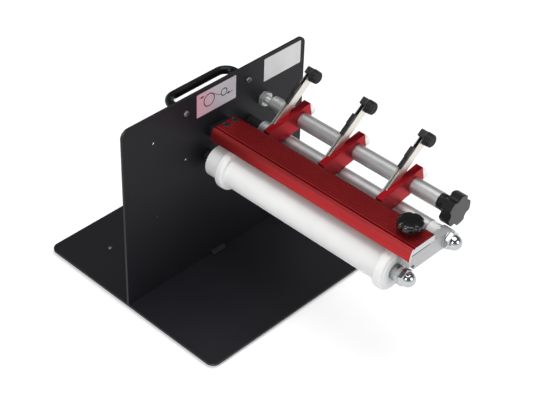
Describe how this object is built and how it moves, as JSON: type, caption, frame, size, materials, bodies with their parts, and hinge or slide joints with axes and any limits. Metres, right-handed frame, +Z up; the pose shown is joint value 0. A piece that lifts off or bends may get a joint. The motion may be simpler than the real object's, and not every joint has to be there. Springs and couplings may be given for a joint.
{
  "type": "label slitter",
  "caption": "Bench-top slitter: snap-off knives on a rod cut a label web that runs over a cantilever roller, under a red guard rail and round a guide tube.",
  "frame": {"origin": "middle of the base plate's footprint, on the desk under the rubber feet", "axes": "+X out of the upright along the rollers, +Y along the upright from the roller side to the knife side, +Z up"},
  "size_m": [0.4504, 0.28, 0.2507],
  "materials": {
    "black_coat": "black powder coat, fine texture",
    "rubber": "matt",
    "black_plastic": "satin black",
    "black_steel": "black oxide",
    "pale_label": "printed film",
    "white_label": "printed film",
    "zinc": "bright zinc",
    "satin_aluminium": "satin",
    "white_plastic": "smooth turned plastic",
    "chrome": "bright",
    "red_anodised": "red anodised, satin",
    "nylon": "natural nylon",
    "stainless": "rolled stainless",
    "blade_steel": "ground"
  },
  "bodies": {
    "stand": {"base_plate": "black_coat", "base_rivet": "zinc", "upright_plate": "black_coat", "angle_strip": "black_coat", "angle_screws": "zinc", "base_lug": "black_coat", "rubber_feet": "rubber", "carry_handle": "black_plastic", "handle_screws": "zinc", "path_label": "pale_label", "notice_label": "white_label", "shaft_washers": "zinc", "shaft_nuts": "zinc", "knife_rod": "satin_aluminium", "rod_stud": "zinc", "guide_axle": "zinc", "guide_spacer": "black_steel", "guide_washers": "zinc", "guide_dome_nut": "chrome", "end_bar": "satin_aluminium", "roller_axle": "zinc", "roller_spacer": "black_steel", "roller_collar": "zinc", "roller_jam_nut": "zinc", "roller_dome_nut": "chrome", "rail": "red_anodised", "rail_block": "black_coat", "block_screws": "black_steel", "rail_screws": "black_steel", "rail_washer": "zinc"},
    "roller": {"web_roller": "white_plastic", "roller_rims": "white_plastic", "roller_bushes": "white_plastic"},
    "guide": {"guide_tube": "satin_aluminium", "guide_bushes": "white_plastic"},
    "rod_knob": {"rod_knob": "black_plastic", "rod_knob_stud": "zinc"},
    "rail_knob": {"rail_knob": "black_plastic", "rail_knob_stud": "zinc"},
    "arm_1": {"knife_arm_1": "red_anodised", "cutter_sleeve_1": "stainless", "cutter_cap_1": "black_plastic"},
    "screw_1": {"arm_screw_1": "nylon"},
    "blade_1": {"cutter_blade_1": "blade_steel", "cutter_slider_1": "black_plastic"},
    "arm_2": {"knife_arm_2": "red_anodised", "cutter_sleeve_2": "stainless", "cutter_cap_2": "black_plastic"},
    "screw_2": {"arm_screw_2": "nylon"},
    "blade_2": {"cutter_blade_2": "blade_steel", "cutter_slider_2": "black_plastic"},
    "arm_3": {"knife_arm_3": "red_anodised", "cutter_sleeve_3": "stainless", "cutter_cap_3": "black_plastic"},
    "screw_3": {"arm_screw_3": "nylon"},
    "blade_3": {"cutter_blade_3": "blade_steel", "cutter_slider_3": "black_plastic"}
  },
  "joints": [
    {"name": "roller_spin", "type": "hinge", "parent": "stand", "child": "roller", "pos_m": [0.1, -0.014, 0.1567], "axis": [1, 0, 0], "continuous": true},
    {"name": "guide_spin", "type": "hinge", "parent": "stand", "child": "guide", "pos_m": [0.1, 0.052, 0.1709], "axis": [1, 0, 0], "continuous": true},
    {"name": "rod_knob_turn", "type": "hinge", "parent": "stand", "child": "rod_knob", "pos_m": [0.27, 0.0737, 0.1928], "axis": [1, 0, 0], "continuous": true},
    {"name": "rail_knob_turn", "type": "hinge", "parent": "stand", "child": "rail_knob", "pos_m": [0.2782, 0.00408, 0.2017], "axis": [0, 0, 1], "continuous": true},
    {"name": "arm_slide_1", "type": "slide", "parent": "stand", "child": "arm_1", "axis": [1, 0, 0], "range_m": [-0.007, 0.027]},
    {"name": "screw_turn_1", "type": "hinge", "parent": "arm_1", "child": "screw_1", "pos_m": [0.0589, 0.07326, 0.19577], "axis": [0, 0.989, 0.1478], "continuous": true},
    {"name": "blade_retract_1", "type": "slide", "parent": "arm_1", "child": "blade_1", "axis": [0, 0.7986, 0.6018], "range_m": [0, 0.012]},
    {"name": "arm_slide_2", "type": "slide", "parent": "stand", "child": "arm_2", "axis": [1, 0, 0], "range_m": [-0.027, 0.027]},
    {"name": "screw_turn_2", "type": "hinge", "parent": "arm_2", "child": "screw_2", "pos_m": [0.1409, 0.07326, 0.19577], "axis": [0, 0.989, 0.1478], "continuous": true},
    {"name": "blade_retract_2", "type": "slide", "parent": "arm_2", "child": "blade_2", "axis": [0, 0.7986, 0.6018], "range_m": [0, 0.012]},
    {"name": "arm_slide_3", "type": "slide", "parent": "stand", "child": "arm_3", "axis": [1, 0, 0], "range_m": [-0.027, 0.027]},
    {"name": "screw_turn_3", "type": "hinge", "parent": "arm_3", "child": "screw_3", "pos_m": [0.2229, 0.07326, 0.19577], "axis": [0, 0.989, 0.1478], "continuous": true},
    {"name": "blade_retract_3", "type": "slide", "parent": "arm_3", "child": "blade_3", "axis": [0, 0.7986, 0.6018], "range_m": [0, 0.012]}
  ]
}
